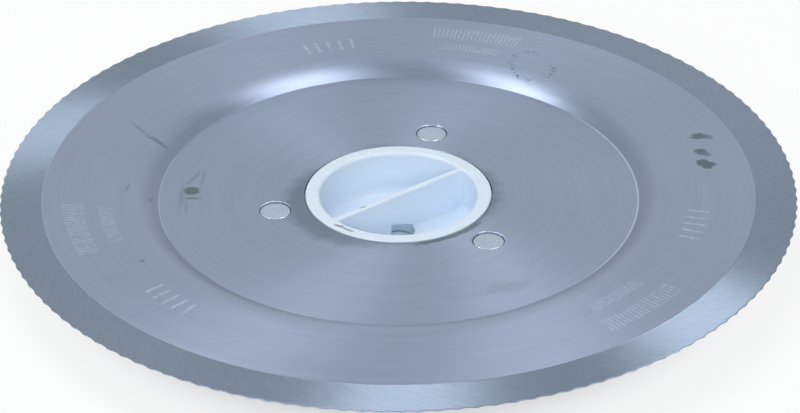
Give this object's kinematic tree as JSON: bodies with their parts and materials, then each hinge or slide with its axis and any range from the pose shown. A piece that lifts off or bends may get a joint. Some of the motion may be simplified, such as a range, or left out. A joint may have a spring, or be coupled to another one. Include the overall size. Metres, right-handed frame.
{
  "type": "cutting disc",
  "caption": "Round food slicer blade: dished brushed steel disc with a fine waved edge, riveted to a white hub with finger recess, grip bar and rear drive gear.",
  "frame": {"origin": "on the axis of rotation, at the hub's flat rear face, on which the part lies", "axes": "+Z along the axis of rotation, out of the blade's front face; the grip bar runs 37.6 degrees from +X towards +Y"},
  "size_m": [0.1704, 0.1704, 0.0142],
  "materials": {
    "blade_steel": "circular brushed, ground band at the edge",
    "hub_plastic": "satin moulded white",
    "rivet_metal": "plain pressed"
  },
  "bodies": {
    "root": {"blade_disc": "blade_steel", "drive_hub": "hub_plastic", "rivet_1": "rivet_metal", "rivet_2": "rivet_metal", "rivet_3": "rivet_metal"}
  },
  "joints": []
}
